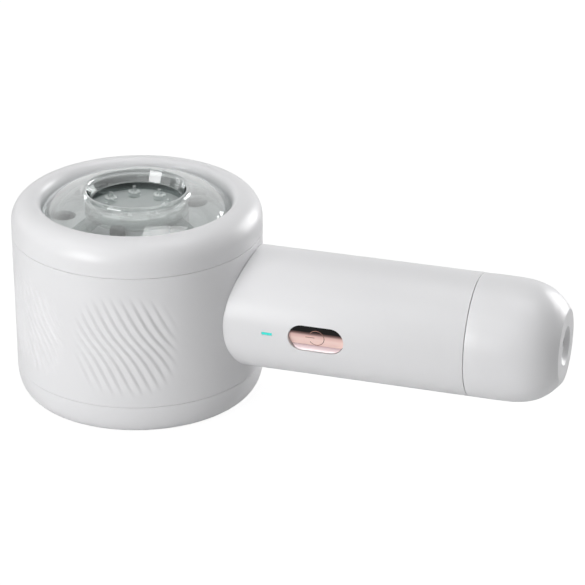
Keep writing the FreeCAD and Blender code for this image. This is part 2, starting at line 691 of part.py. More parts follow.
def make_handle():
    tube_solid = pipe("handle_tube_round", handle_radius, handle_inner, head_radius / 2,
                      handle_end - head_radius / 2, "x", handle_axis)
    saddle = rod("handle_saddle", head_radius + s.shell_gap / 2, 0, s.head_height)
    hole = button_hole("handle_button_hole", as_size(0), -handle_radius - 1, handle_radius)
    slot = block("handle_light_slot",
                 (light_centre - s.light_length / 2 - s.button_gap, -handle_radius - 1,
                  handle_height - s.light_width / 2 - s.button_gap),
                 (s.light_length + 2 * s.button_gap, handle_radius, s.light_width + 2 * s.button_gap))
    tube = cut("handle_tube", tube_solid, saddle, hole, slot)

    bore = collar_outer_radius - s.collar_wall
    nut_face = root(shell_inner * shell_inner - nut_radius * nut_radius) - s.fit_gap
    collar_start = nut_face - s.nut_length - 1
    collar_end = cell_start - 1
    collar_turned = turned("handle_collar", [
        (collar_start, bore), (collar_end, bore), (collar_end, handle_inner - s.shell_gap),
        (collar_end - s.collar_flange, handle_inner - s.shell_gap),
        (collar_end - s.collar_flange, collar_outer_radius),
        (collar_start, collar_outer_radius)], "H_Axis", handle_height)
    nut = pipe("collar_nut", nut_radius, collar_outer_radius + 0.05, nut_face - s.nut_length,
               s.nut_length, "x", handle_axis)
    return [tube, collar_turned, nut]


def make_power_pack():
    cell_axis = (s.cell_offset, handle_height)
    cell = rod("battery_cell", cell_radius, cell_start, cell_length, "x", cell_axis)
    tabs = []
    for i, start in enumerate((cell_start - s.tab_thickness, cell_start + cell_length)):
        tabs.append(block("battery_tab_%d" % i,
                          (start, s.cell_offset - s.tab_width / 2, handle_height - s.tab_height / 2),
                          (s.tab_thickness, s.tab_width, s.tab_height)))
    board_back = -board_front + s.board_thickness
    board_length = cell_length - s.board_short
    board = block("circuit_board_blank",
                  (cell_start, -board_front, handle_height - s.board_half_width),
                  (board_length, s.board_thickness, s.board_half_width * 2))
    trough_inner = cell_radius + 0.2
    trough = pipe("carrier_trough", trough_inner + s.carrier_wall, trough_inner, cell_start,
                  cell_length, "x", cell_axis)
    open_side = block("carrier_open_side", (cell_start - 1, s.cell_offset, as_size(0)),
                      (cell_length + 2, handle_radius, s.head_height))
    half_trough = cut("carrier_half_trough", trough, open_side)
    plate_depth = s.cell_offset - trough_inner - board_back
    plate = block("carrier_plate", (cell_start, board_back, handle_height - s.board_half_width),
                  (cell_length, plate_depth, s.board_half_width * 2))
    inset, offset = s.board_screw_inset, s.board_screw_offset
    screw_spots = [(cell_start + inset, handle_height + offset),
                   (cell_start + board_length - inset, handle_height - offset)]
    holes = []
    screws = []
    for i, spot in enumerate(screw_spots):
        holes.append(rod("board_hole_%d" % i, s.board_screw_radius + 0.1, -board_front - 1,
                         s.board_thickness + 2, "y", spot))
        shank = rod("board_screw_shank_%d" % i, s.board_screw_radius, -board_front,
                    s.board_thickness + 2, "y", spot)
        head = rod("board_screw_head_%d" % i, s.board_screw_head,
                   -board_front - s.board_screw_head_height, s.board_screw_head_height, "y", spot)
        screws.append(fused("board_screw_%d" % i, shank, head))
    plate_holes = [rod("carrier_hole_%d" % i, s.board_screw_radius, board_back - 1, 4, "y", spot)
                   for i, spot in enumerate(screw_spots)]
    carrier = cut("battery_carrier", fused("carrier_solid", half_trough, plate), *plate_holes)
    circuit_board = cut("circuit_board", board, *holes)
    return [cell, group("battery_tabs", *tabs), carrier, circuit_board,
            group("board_screws", *screws)]


def make_button():
    half = s.switch_size / 2
    spot = (button_centre, handle_height)
    body = block("power_switch_body", (spot[0] - half, -switch_front, spot[1] - half),
                 (s.switch_size, s.switch_depth, s.switch_size))
    plunger_hole = s.plunger_radius + s.button_gap
    well = rod("power_switch_well", plunger_hole, -switch_front - 1, s.switch_depth, "y", spot)
    switch = cut("power_switch", body, well)
    flange_back = -switch_front - s.switch_gap
    plunger = rod("switch_plunger", s.plunger_radius, flange_back,
                  s.switch_depth - s.button_travel - 0.4, "y", spot)
    face = -handle_radius + s.button_recess
    stem = button_hole("power_button_stem", -2 * s.button_gap, face, -face + flange_back)
    flange = button_hole("power_button_flange", s.flange_width, flange_back - s.button_flange,
                         s.button_flange)
    button = fused("power_button", stem, flange)

    light_low = handle_height - s.light_width / 2
    light_left = light_centre - s.light_length / 2
    led = block("status_led", (light_left, -board_front - 1, light_low - 0.4),
                (s.light_length, as_size(1), s.light_width + 0.8))
    pipe_back = -board_front - 1.2
    light_pipe = block("light_pipe", (light_left, -handle_radius + 0.05, light_low),
                       (s.light_length, handle_radius - 0.05 + pipe_back, s.light_width))
    return [switch, plunger, button, led, light_pipe]


# Tail.

def tail_curve(start, end, big, small):
    # A quartic falling from the tube's radius to the end face's, flat where it leaves the tube.
    steps = 8
    points = []
    for i in range(steps + 1):
        share = i / steps
        points.append(Vector(start + (end - start) * share, 0, big - (big - small) * share ** 4))
    curve = Part.BSplineCurve()
    leave = Vector(end - start, 0, 0)
    arrive = Vector(end - start, 0, -4 * (big - small))
    curve.interpolate(Points=points, InitialTangent=leave, FinalTangent=arrive)
    return curve.toShape(), points[0], points[-1]


def make_tail():
    start = (handle_end + s.shell_gap).number
    bend = (handle_end + s.tail_straight).number
    end = tail_end.number
    wall = s.tail_wall.number
    big = handle_radius.number
    face = tail_face_radius.number
    inner_end = end - s.dish_depth.number - wall
    outer, outer_start, outer_end = tail_curve(bend, end, big, face)
    inner, inner_start, inner_last = tail_curve(bend, inner_end, big - wall, face - wall)
    spigot_outer = (handle_inner - s.fit_gap).number
    spigot_in = spigot_outer - s.tail_spigot_wall.number
    spigot_start = (handle_end - s.tail_spigot_depth).number
    path = [
        inner_start, Vector(start, 0, spigot_in), Vector(spigot_start, 0, spigot_in),
        Vector(spigot_start, 0, spigot_outer), Vector(start, 0, spigot_outer),
        Vector(start, 0, big), outer_start]
    edges = [Part.LineSegment(a, b).toShape() for a, b in zip(path, path[1:])]
    dish_edge = s.dish_radius.number
    dish_flat = dish_edge - s.dish_depth.number
    dish_floor = end - s.dish_depth.number
    close = [
        outer_end, Vector(end, 0, dish_edge), Vector(dish_floor, 0, dish_flat),
        Vector(dish_floor, 0, 0), Vector(inner_end, 0, 0), inner_last]
    edges += [outer] + [Part.LineSegment(a, b).toShape() for a, b in zip(close, close[1:])] + [inner]
    wire = Part.Wire(Part.__sortEdges__(edges))
    solid = Part.Face(wire).revolve(Vector(), Vector(1, 0, 0), 360)
    cap_turned = doc.addObject("Part::Feature", "tail_cap_turned")
    cap_turned.Shape = Part.Solid(solid) if solid.ShapeType != "Solid" else solid
    bind(cap_turned, "Placement.Base.z", handle_height)

    mouth = tail_end - s.dish_depth - 0.2
    port_axis = (as_size(0), handle_height)
    hole = obround("tail_port_hole", s.port_width + 0.4, s.port_thickness + 0.4, mouth - 6, 8,
                   port_axis, "x")
    cap = cut("tail_cap", cap_turned, hole)
    shell_start = mouth - s.port_length
    outside = obround("charge_port_outside", s.port_width, s.port_thickness, shell_start,
                      s.port_length, port_axis, "x")
    bore = obround("charge_port_bore", s.port_width - 2 * s.port_shell,
                   s.port_thickness - 2 * s.port_shell, shell_start + 0.8, s.port_length,
                   port_axis, "x")
    port = cut("charge_port", outside, bore)
    tongue = block("charge_port_tongue",
                   (shell_start + 0.8, -s.tongue_width / 2, handle_height - s.tongue_thickness / 2),
                   (s.tongue_length, s.tongue_width, s.tongue_thickness))
    board_top = handle_height - s.port_thickness / 2
    board_low = board_top - s.board_thickness
    board = block("port_board", (shell_start + 4 - s.port_board_length, -s.port_board_width / 2, board_low),
                  (s.port_board_length, s.port_board_width, s.board_thickness))
    seal = pipe("tail_seal", handle_inner - 0.1, handle_inner - s.fit_gap, handle_end - 4, s.seal_width,
                "x", handle_axis)
    return [cap, port, tongue, board, seal]


# Build, check, write.

nodes = [make_head_shell(), make_motor_deck(), make_deck_screws()]
for maker in (make_motor, make_rotor, make_cutter, make_foil_ring, make_cup, make_handle,
              make_power_pack, make_button, make_tail):
    nodes += maker()
doc.recompute()

for thing in doc.Objects:
    if "Invalid" in thing.State or "Error" in thing.State:
        raise RuntimeError("%s: %s" % (thing.Label, thing.State))
os.makedirs("parts", exist_ok=True)
for node in nodes:
    shape = node.Shape
    if shape.isNull() or not shape.isValid() or not shape.Solids:
        raise RuntimeError("%s has no valid solid" % node.Label)
    shape.exportStep("parts/%s.step" % node.Label)
    print("%-20s solids %2d  volume %9.1f" % (node.Label, len(shape.Solids), shape.Volume))
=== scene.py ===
import json
import math
import bmesh
import bpy
from mathutils import Euler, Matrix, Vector


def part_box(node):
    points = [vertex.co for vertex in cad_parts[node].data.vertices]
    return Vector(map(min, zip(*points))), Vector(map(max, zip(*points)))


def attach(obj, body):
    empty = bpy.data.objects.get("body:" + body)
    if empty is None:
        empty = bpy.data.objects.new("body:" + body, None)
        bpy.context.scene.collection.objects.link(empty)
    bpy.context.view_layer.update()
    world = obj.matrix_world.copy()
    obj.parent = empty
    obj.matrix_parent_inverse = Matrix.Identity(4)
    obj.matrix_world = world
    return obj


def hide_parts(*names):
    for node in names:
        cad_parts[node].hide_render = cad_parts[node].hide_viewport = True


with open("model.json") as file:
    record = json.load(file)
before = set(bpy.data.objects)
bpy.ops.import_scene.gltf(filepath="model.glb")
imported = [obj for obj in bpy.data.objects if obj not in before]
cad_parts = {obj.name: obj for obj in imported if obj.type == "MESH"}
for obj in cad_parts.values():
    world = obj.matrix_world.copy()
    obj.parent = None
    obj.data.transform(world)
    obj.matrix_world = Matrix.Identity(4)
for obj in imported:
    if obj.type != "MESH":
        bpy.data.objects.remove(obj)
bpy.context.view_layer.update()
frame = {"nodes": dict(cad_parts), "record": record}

mm = 0.001
print("frame loaded,", len(frame["nodes"]), "nodes")


# places, read from the frame

def low(node):
    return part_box(node)[0]  # the least x, y and z of a CAD node


def high(node):
    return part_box(node)[1]


headRadius = high("head_shell").y
shellHigh = high("head_shell").z
ringHigh = high("foil_lock_ring").z
rimHigh = high("cup_rim").z
axisZ = (low("handle_tube").z + high("handle_tube").z) / 2
handleRadius = (high("handle_tube").z - low("handle_tube").z) / 2
handleEnd = high("handle_tube").x
tailEnd = high("tail_cap").x
buttonX = (low("power_button").x + high("power_button").x) / 2


# mesh helpers

def arc(centre, radii, start, end, count):
    points = []
    for i in range(count + 1):
        turn = math.radians(start + (end - start) * i / count)
        points.append((centre[0] + radii[0] * math.cos(turn), centre[1] + radii[1] * math.sin(turn)))
    return points


def softened(outline, radius, steps=3, least=25):
    # rounds each corner of a closed outline that turns by more than "least" degrees
    points = []
    count = len(outline)
    for i in range(count):
        before, here, after = (Vector(outline[(i + k) % count]) for k in (-1, 0, 1))
        back, ahead = before - here, after - here
        turn = math.pi - back.angle(ahead, math.pi)
        if math.degrees(turn) < least:
            points.append(tuple(here))
            continue
        reach = min(radius * math.tan(turn / 2), 0.45 * back.length, 0.45 * ahead.length)
        start = here + back.normalized() * reach
        end = here + ahead.normalized() * reach
        for k in range(steps + 1):
            share = k / steps
            spot = start * (1 - share) ** 2 + here * 2 * share * (1 - share) + end * share ** 2
            points.append(tuple(spot))
    return points


def lathe(outline, steps, along="z", height=0):
    # turns a closed outline of (radius, distance along the axis) into a solid ring
    shape = bmesh.new()
    rings = []
    for i in range(steps):
        turn = 2 * math.pi * i / steps
        c, s = math.cos(turn), math.sin(turn)
        if along == "z":
            rings.append([shape.verts.new((r * c, r * s, a)) for r, a in outline])
        else:
            rings.append([shape.verts.new((a, r * c, height + r * s)) for r, a in outline])
    count = len(outline)
    for i in range(steps):
        here, there = rings[i], rings[(i + 1) % steps]
        for k in range(count):
            shape.faces.new((here[k], there[k], there[(k + 1) % count], here[(k + 1) % count]))
    bmesh.ops.remove_doubles(shape, verts=shape.verts, dist=1e-7)
    return shape


def obroundOutline(length, width, steps=14):
    # a slot shape: two half circles joined by straight sides
    half = (length - width) / 2
    radius = width / 2
    right = arc((half, 0), (radius, radius), -90, 90, steps)
    left = arc((-half, 0), (radius, radius), 90, 270, steps)
    return right + left


def prism(outline, place, depth):
    # closed outline carried to 3-D by place(u, v, d) at d = 0 and d = depth
    shape = bmesh.new()
    near = [shape.verts.new(place(u, v, 0)) for u, v in outline]
    far = [shape.verts.new(place(u, v, depth)) for u, v in outline]
    count = len(outline)
    shape.faces.new(near)
    shape.faces.new(far[::-1])
    for i in range(count):
        shape.faces.new((near[i], far[i], far[(i + 1) % count], near[(i + 1) % count]))
    return shape


def bridge(shape, here, there):
    # joins two rings of the same count with four-sided faces
    count = len(here)
    for k in range(count):
        shape.faces.new((here[k], here[(k + 1) % count], there[(k + 1) % count], there[k]))


def smooth(shape, sharp):
    # smooth everywhere but across edges that turn by "sharp" degrees or more
    limit = math.radians(sharp)
    for edge in shape.edges:
        edge.smooth = len(edge.link_faces) == 2 and edge.calc_face_angle(0) < limit
    for face in shape.faces:
        face.smooth = True


def toObject(name, shape, sharp=32):
    bmesh.ops.recalc_face_normals(shape, faces=shape.faces)
    smooth(shape, sharp)
    mesh = bpy.data.meshes.new(name)
    shape.to_mesh(mesh)
    shape.free()
    thing = bpy.data.objects.new(name, mesh)
    bpy.context.scene.collection.objects.link(thing)
    return thing


def carve(thing, *shapes):
    # cuts every shape out of the thing
    cutters = [toObject("cutter%d" % i, shape) for i, shape in enumerate(shapes)]
    for cutter in cutters:
        cut = thing.modifiers.new("cut", "BOOLEAN")
        cut.operation = "DIFFERENCE"
        cut.solver = "EXACT"
        cut.object = cutter
    graph = bpy.context.evaluated_depsgraph_get()
    mesh = bpy.data.meshes.new_from_object(thing.evaluated_get(graph))
    thing.modifiers.clear()
    thing.data = mesh
    for cutter in cutters:
        bpy.data.objects.remove(cutter)
    return thing


def reshade(thing, normalAt, sharp=32):
    # marks the sharp edges again after a cut, then gives the faces that lie on a known
    # surface that surface's own normals; normalAt(point) is None off the surface
    shape = bmesh.new()
    shape.from_mesh(thing.data)
    smooth(shape, sharp)
    shape.to_mesh(thing.data)
    shape.free()
    mesh = thing.data
    normals = [Vector(corner.vector) for corner in mesh.corner_normals]
    for face in mesh.polygons:
        for loop in face.loop_indices:
            known = normalAt(mesh.vertices[mesh.loops[loop].vertex_index].co)
            if known and known.dot(face.normal) > 0.9:
                normals[loop] = known
    mesh.normals_split_custom_set(normals)


def piece(thing, look, body, slot, *nodes):
    # dresses a mesh, puts it on its body and hides the CAD nodes it stands for
    thing.data.materials.clear()
    thing.data.materials.append(look)
    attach(thing, body)
    if nodes:
        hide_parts(*nodes)
    return thing


# shader helpers

class Wire:
    # a socket that does arithmetic
    def __init__(self, look, socket):
        self.look = look
        self.socket = socket

    def __add__(self, other):
        return self.look.math("ADD", self, other)

    def __radd__(self, other):
        return self.look.math("ADD", other, self)

    def __sub__(self, other):
        return self.look.math("SUBTRACT", self, other)

    def __rsub__(self, other):
        return self.look.math("SUBTRACT", other, self)

    def __mul__(self, other):
        return self.look.math("MULTIPLY", self, other)

    def __rmul__(self, other):
        return self.look.math("MULTIPLY", other, self)


class Look:
    # one material: nodes are added by type, with their settings first and then their sockets
    def __init__(self, name):
        self.material = bpy.data.materials.new(name)
        self.material.use_nodes = True
        self.tree = self.material.node_tree
        self.tree.nodes.clear()

    def node(self, kind, settings, sockets, out=0):
        made = self.tree.nodes.new(kind)
        for key, value in settings.items():
            if key == "stops":
                ramp = made.color_ramp
                while len(ramp.elements) < len(value):
                    ramp.elements.new(0.5)
                for element, (spot, colour) in zip(ramp.elements, value):
                    element.position = spot
                    element.color = colour
            else:
                setattr(made, key, value)
        for key, value in sockets.items():
            if isinstance(value, Wire):
                self.tree.links.new(value.socket, made.inputs[key])
            else:
                made.inputs[key].default_value = value
        return Wire(self, made.outputs[out]) if len(made.outputs) else None

    def math(self, operation, first, second):
        return self.node("ShaderNodeMath", {"operation": operation}, {0: first, 1: second})

    def place(self):
        return self.node("ShaderNodeTexCoord", {}, {}, "Object")

    def noise(self, scale, detail=3, where=None):
        return self.node("ShaderNodeTexNoise", {},
                         {"Vector": where or self.place(), "Scale": scale, "Detail": detail})

    def blend(self, share, first, second):
        return self.node("ShaderNodeMix", {"data_type": "RGBA"}, {0: share, 6: first, 7: second}, 2)

    def bump(self, height, strength, distance):
        return self.node("ShaderNodeBump", {},
                         {"Strength": strength, "Distance": distance, "Height": height})

    def stretched(self, scale):
        return self.node("ShaderNodeMapping", {}, {"Vector": self.place(), "Scale": scale})

    def finish(self, **sockets):
        named = {key.replace("_", " "): value for key, value in sockets.items()}
        shader = self.node("ShaderNodeBsdfPrincipled", {}, named)
        self.node("ShaderNodeOutputMaterial", {}, {"Surface": shader})
        return self.material


def tone(red, green, blue, alpha=1.0):
    return (red, green, blue, alpha)


def mouldedPlastic(name, dark, light, roughness):
    # a slow drift of colour, patchy gloss and a very fine grain
    look = Look(name)
    drift = look.noise(30, 2)
    grain = look.noise(900, 4)
    return look.finish(
        Base_Color=look.blend(drift, dark, light),
        Roughness=roughness + 0.08 * (look.noise(140, 3) - 0.5),
        Normal=look.bump(grain, 0.02, 0.05 * mm))


def clearPlastic(name, tint, veil, edge):
    # sees straight through, with a surface gloss that grows towards the edges
    look = Look(name)
    haze = look.noise(60, 2)
    ripple = look.bump(look.noise(90, 2), 0.05, 0.1 * mm)
    inside = look.node("ShaderNodeBsdfTransparent", {}, {"Color": tint})
    gloss = look.node("ShaderNodeBsdfAnisotropic", {}, {
        "Color": tone(0.97, 0.98, 0.98), "Roughness": 0.02 + 0.02 * haze, "Normal": ripple})
    facing = look.node("ShaderNodeLayerWeight", {}, {"Normal": ripple}, 1)
    share = veil + 0.02 * haze + edge * look.math("POWER", facing, 3.0)
    whole = look.node("ShaderNodeMixShader", {}, {0: share, 1: inside, 2: gloss})
    look.node("ShaderNodeOutputMaterial", {}, {"Surface": whole})
    return look.material


def smokedPlastic(name, dark, light):
    # lets a little of what is below show through
    look = Look(name)
    return look.finish(
        Base_Color=look.blend(look.noise(60, 2), dark, light),
        Roughness=0.12 + 0.04 * look.noise(200, 2),
        Normal=look.bump(look.noise(90, 2), 0.05, 0.1 * mm),
        Alpha=0.72 + 0.06 * look.noise(40, 2))


def metal(name, dark, light, roughness, brushed=None):
    # "brushed" stretches the grain along the axis with the small number
    look = Look(name)
    where = look.stretched(brushed) if brushed else look.place()
    grain = look.noise(900, 4, where)
    return look.finish(
        Base_Color=look.blend(grain, dark, light), Metallic=1.0,
        Roughness=roughness + 0.12 * (grain - 0.5),
        Normal=look.bump(grain, 0.05, 0.02 * mm))


looks = {
    "white_shell": mouldedPlastic("satinWhite", tone(0.80, 0.80, 0.815), tone(0.84, 0.84, 0.85), 0.32),
    "clear_plastic": clearPlastic("clearDome", tone(0.925, 0.938, 0.933), 0.07, 1.3),
    "smoked_plastic": smokedPlastic("smokedDisc", tone(0.60, 0.64, 0.64), tone(0.66, 0.70, 0.69)),
    "grey_plastic": mouldedPlastic("paleGrey", tone(0.66, 0.67, 0.68), tone(0.72, 0.73, 0.74), 0.4),
    "steel": metal("brightSteel", tone(0.60, 0.60, 0.62), tone(0.74, 0.74, 0.75), 0.22),
    "bronze": metal("bronzeBush", tone(0.45, 0.28, 0.14), tone(0.62, 0.42, 0.22), 0.45),
    "nickel": metal("nickelTab", tone(0.58, 0.57, 0.53), tone(0.70, 0.69, 0.65), 0.3, (0.05, 1, 1)),
    "iron": metal("darkIron", tone(0.10, 0.10, 0.11), tone(0.16, 0.16, 0.17), 0.5),
    "copper": metal("turnedCopper", tone(0.62, 0.28, 0.16), tone(0.78, 0.40, 0.26), 0.3,
                    (1, 1, 0.05)),
    "rubber": mouldedPlastic("blackRubber", tone(0.02, 0.02, 0.02), tone(0.035, 0.035, 0.036), 0.75),
    "board_green": mouldedPlastic("solderMask", tone(0.01, 0.11, 0.05), tone(0.02, 0.16, 0.08), 0.3),
    "black_plastic": mouldedPlastic("blackPlastic", tone(0.015, 0.015, 0.016), tone(0.03, 0.03, 0.03),
                                    0.45),
    "cell_wrap": mouldedPlastic("cellWrap", tone(0.03, 0.12, 0.30), tone(0.04, 0.16, 0.38), 0.25),
}


def lensLook():
    look = Look("litLens")
    glow = look.blend(look.noise(800, 2), tone(0.01, 0.42, 0.38), tone(0.05, 0.62, 0.55))
    return look.finish(Base_Color=glow, Roughness=0.4, Emission_Color=glow, Emission_Strength=0.6)


looks["light_lens"] = lensLook()


# the button's colours from its lower edge (0) to its upper edge (1), painted reflection and shade: a
# pale-to-dull-pink painted reflection on the lower bevel, painted shade along the crease, a painted rose
# highlight, and painted black reflection and shade across the top
paintedButtonReflections = [
    (0.0, tone(0.80, 0.72, 0.73)), (0.10, tone(0.52, 0.41, 0.42)), (0.205, tone(0.34, 0.24, 0.25)),
    (0.215, tone(0.98, 0.70, 0.64)), (0.45, tone(1.0, 0.74, 0.68)), (0.60, tone(0.82, 0.54, 0.50)),
    (0.68, tone(0.22, 0.13, 0.12)), (0.76, tone(0.004, 0.004, 0.004)),
]


def buttonLook():
    # rose metal with painted reflections in bands across the face: painted black reflection and shade at
    # the top, a painted rose highlight, and a painted dull-pink reflection on the lower bevel
    look = Look("roseMetal")
    faceHeight = 8.3 * mm
    height = look.node("ShaderNodeSeparateXYZ", {}, {"Vector": look.place()}, 2)
    brushed = look.noise(900, 4, look.stretched((0.02, 1, 1)))
    share = (height - (axisZ - faceHeight / 2)) * (1 / faceHeight) + 0.006 * (brushed - 0.5)
    # colour by height: the painted reflections and painted shade of the button's pocket
    colour = look.node("ShaderNodeValToRGB", {"stops": paintedButtonReflections}, {"Fac": share})
    return look.finish(Base_Color=colour, Metallic=0.25, Specular_IOR_Level=0.3,
                       Roughness=0.34 + 0.04 * (brushed - 0.5),
                       Normal=look.bump(brushed, 0.01, 0.02 * mm))


looks["rose_metal"] = buttonLook()
betterLooks = {"cup_spider": clearPlastic("clearRibs", tone(0.65, 0.68, 0.675), 0.02, 0.6)}
slotOf = {part["node"]: part["material_slot"] for part in frame["record"]["subparts"]}
for node, thing in frame["nodes"].items():
    for i in range(max(1, len(thing.material_slots))):
        if not thing.material_slots:
            thing.data.materials.append(None)
        thing.material_slots[i].link = "OBJECT"
        thing.material_slots[i].material = betterLooks.get(node, looks[slotOf[node]])
print("finishes made,", len(looks))


# foil lock ring, the base

# the gap between two shells, how far each side closes it, and the room round a sliding part
fit = {"gap": 0.2 * mm, "close": 0.06 * mm, "slide": 0.3 * mm}
base = {"cornerWidth": 4.3 * mm, "cornerHeight": 8.4 * mm, "edge": 0.25 * mm, "lipHeight": 1.5 * mm}
lipRadius = (high("foil_mesh").x - low("foil_mesh").x) / 2 + fit["slide"]
ringInner = high("foil_frame").x + fit["slide"]
lipHeight = base["lipHeight"]
baseOutline = [(lipRadius, 0)] + arc(
    (headRadius - base["cornerWidth"], base["cornerHeight"]),
    (base["cornerWidth"], base["cornerHeight"]), -90, 0, 20) + [
    (headRadius, ringHigh + fit["close"]), (ringInner, ringHigh + fit["close"]),
    (ringInner, lipHeight), (lipRadius, lipHeight)]
baseRing = toObject("baseRing", lathe(softened(baseOutline, base["edge"]), 256))
piece(baseRing, looks["white_shell"], "foil_ring", "white_shell", "foil_lock_ring")


# head shell with its ridged grip

grip = {
    "patchStep": 51.6, "patchesEachSide": 2,  # degrees from patch to patch, from the back of the head
    "halfWidth": 18.6 * mm, "halfHeight": 18 * mm, "middle": 30.6 * mm,
    "pitch": 3.1 * mm, "depth": 0.4 * mm, "lean": 0.45, "swing": 1.9 * mm, "swingReach": 5.5 * mm,
    "rise": 0.72, "fade": 0.38, "levels": 104, "steps": 880,
}
shell = {"wall": 2.2 * mm, "edge": 0.14 * mm, "flange": 1.5 * mm, "skirtOuter": 36.1 * mm,
         "skirtInner": 34.1 * mm, "opening": 15.9 * mm}


def ridgeDepth(turn, height):
    # 0 on the plain wall; up to 1 at the foot of a ridge
    rise = height - grip["middle"]
    swing = grip["lean"] * rise + grip["swing"] * math.tanh(rise / grip["swingReach"])
    sides = grip["patchesEachSide"]
    for k in range(sides, -sides - 1, -1):
        across = (math.degrees(turn) - k * grip["patchStep"]) % 360 - 180
        across = math.radians(across) * headRadius
        spread = (abs(across / grip["halfWidth"]) ** 3 + abs(rise / grip["halfHeight"]) ** 3) ** (1 / 3)
        if spread >= 1:
            continue
        fade = min(1, (1 - spread) / grip["fade"])
        fade = fade * fade * (3 - 2 * fade)
        cycle = ((across + swing) / grip["pitch"]) % 1
        if cycle < grip["rise"]:
            share = cycle / grip["rise"]
        else:
            share = (1 - cycle) / (1 - grip["rise"])
        share = share * share * (3 - 2 * share)
        return fade * (1 - share)
    return 0


def makeShell():
    wall = [(headRadius, wallLow + (wallHigh - wallLow) * i / grip["levels"])
            for i in range(grip["levels"] + 1)]
    inner = headRadius - shell["wall"]
    skirtLow = low("head_shell").z
    outline = wall + [
        (inner, wallHigh), (inner, wallLow + shell["flange"]),
        (shell["skirtInner"], wallLow + shell["flange"]), (shell["skirtInner"], skirtLow),
        (shell["skirtOuter"], skirtLow), (shell["skirtOuter"], wallLow)]
    shape = lathe(softened(outline, shell["edge"]), grip["steps"])
    for vert in shape.verts:
        across = math.hypot(vert.co.x, vert.co.y)
        if abs(across - headRadius) > 1e-6:
            continue
        sunk = grip["depth"] * ridgeDepth(math.atan2(vert.co.y, vert.co.x), vert.co.z)
        vert.co.x *= 1 - sunk / headRadius
        vert.co.y *= 1 - sunk / headRadius
    made = toObject("headShell", shape, 50)
    near, far = headRadius / 2, headRadius + 10 * mm
    hole = lathe([(0, near), (shell["opening"], near), (shell["opening"], far), (0, far)], 96, "x", axisZ)
    return carve(made, hole)


wallLow = ringHigh + fit["gap"] - fit["close"]
wallHigh = shellHigh + fit["close"]
piece(makeShell(), looks["white_shell"], "housing", "white_shell", "head_shell")
print("head shell and base made")


# lint cup

rim = {"topRound": 7.16 * mm, "innerRound": (2.5 * mm, 4 * mm), "wall": 2 * mm, "edge": 0.2 * mm,
       "turnDown": 59 * mm, "roof": 0.6 * mm}


def makeRim():
    foot = shellHigh + fit["gap"] - fit["close"]
    spigotLow = low("cup_rim").z
    spigotOuter = headRadius - shell["wall"] - fit["slide"]
    spigotInner = spigotOuter - shell["wall"]
    mouth = high("cup_dome").x + fit["gap"]
    inner = mouth + rim["wall"]
    roof = rimHigh - rim["wall"] - rim["roof"]
    topRound = rim["topRound"]
    roundX, roundZ = rim["innerRound"]
    outer = arc((headRadius - topRound, rimHigh - topRound), (topRound, topRound), 0, 90, 24)
    turnIn = arc((mouth + roundX, rimHigh - roundZ), (roundX, roundZ), 90, 180, 16)
    outline = [(spigotInner, spigotLow), (spigotOuter, spigotLow), (spigotOuter, foot),
               (headRadius, foot)] + outer + turnIn[1:] + [
               (mouth, rim["turnDown"]), (inner, rim["turnDown"]), (inner, roof), (spigotInner, roof)]
    return toObject("cupRim", lathe(softened(outline, rim["edge"]), 256))


dome = {"wall": 1.7 * mm, "edgeHeight": 61 * mm, "curve": 20 * mm, "lipRound": 0.95 * mm,
        "lipRadius": 16.65 * mm, "lipHeight": 66.8 * mm, "lipShift": 0.1 * mm, "lipDepth": 1.5 * mm,
        "wellRadius": 14.2 * mm, "wellLow": 63.6 * mm, "wellStep": (1.2 * mm, 0.4 * mm),
        "edgeDepth": 0.8 * mm, "edge": 0.3 * mm}


def bulge(start, end, radius, side, count):
    # points from start to end on a circle arc that bulges to one side of the chord
    ax, az = start
    bx, bz = end
    span = math.hypot(bx - ax, bz - az)
    reach = math.sqrt(radius * radius - span * span / 4)
    cx = (ax + bx) / 2 + side * reach * (bz - az) / span
    cz = (az + bz) / 2 - side * reach * (bx - ax) / span
    first = math.degrees(math.atan2(az - cz, ax - cx))
    last = math.degrees(math.atan2(bz - cz, bx - cx))
    last = first + (last - first + 180) % 360 - 180
    return arc((cx, cz), (radius, radius), first, last, count)


def makeDome():
    # up the outside, over the lip, down into the well and back under it
    rimEdge = high("cup_dome").x
    bottom = low("cup_dome").z
    skirt = rimEdge - dome["wall"]
    lip, lipHigh, lipRound = dome["lipRadius"], dome["lipHeight"], dome["lipRound"]
    well, wellLow = dome["wellRadius"], dome["wellLow"]
    stepOut, stepDown = dome["wellStep"]
    edgeHeight, curve = dome["edgeHeight"], dome["curve"]
    outline = [(rimEdge, bottom)]
    outline += bulge((rimEdge, edgeHeight), (lip + lipRound, lipHigh), curve, -1, 20)
    outline += arc((lip, lipHigh), (lipRound, lipRound * 0.95), 0, 180, 14)[1:]
    outline += [(well, wellLow), (well + stepOut, wellLow - stepDown)]
    outline += bulge((lip + dome["lipShift"], lipHigh - dome["lipDepth"]),
                     (skirt, edgeHeight - dome["edgeDepth"]), curve, 1, 20)
    outline += [(skirt, bottom)]
    return toObject("cupDome", lathe(softened(outline, dome["edge"], 4), 256), 40)


post = {"count": 7, "start": 64, "circle": 10 * mm, "foot": 2.1 * mm, "footHeight": 1.8 * mm,
        "neck": 0.9 * mm, "tip": 0.6 * mm, "edge": 0.3 * mm}


def makePosts():
    shape = bmesh.new()
    floorTop = high("cup_floor").z
    top = high("vent_posts").z
    step = floorTop + post["footHeight"]
    outline = softened([(0, floorTop), (post["foot"], floorTop), (post["foot"], step),
                        (post["neck"], step), (post["tip"], top), (0, top)], post["edge"])
    for i in range(post["count"]):
        turn = math.radians(post["start"] + i * 360 / post["count"])
        single = lathe(outline, 28)
        bmesh.ops.translate(single, verts=single.verts, vec=(
            post["circle"] * math.cos(turn), post["circle"] * math.sin(turn), 0))
        held = bpy.data.meshes.new("post")
        single.to_mesh(held)
        single.free()
        shape.from_mesh(held)
        bpy.data.meshes.remove(held)
    return toObject("ventPosts", shape)


disc = {"edge": 0.3 * mm, "steps": 160}


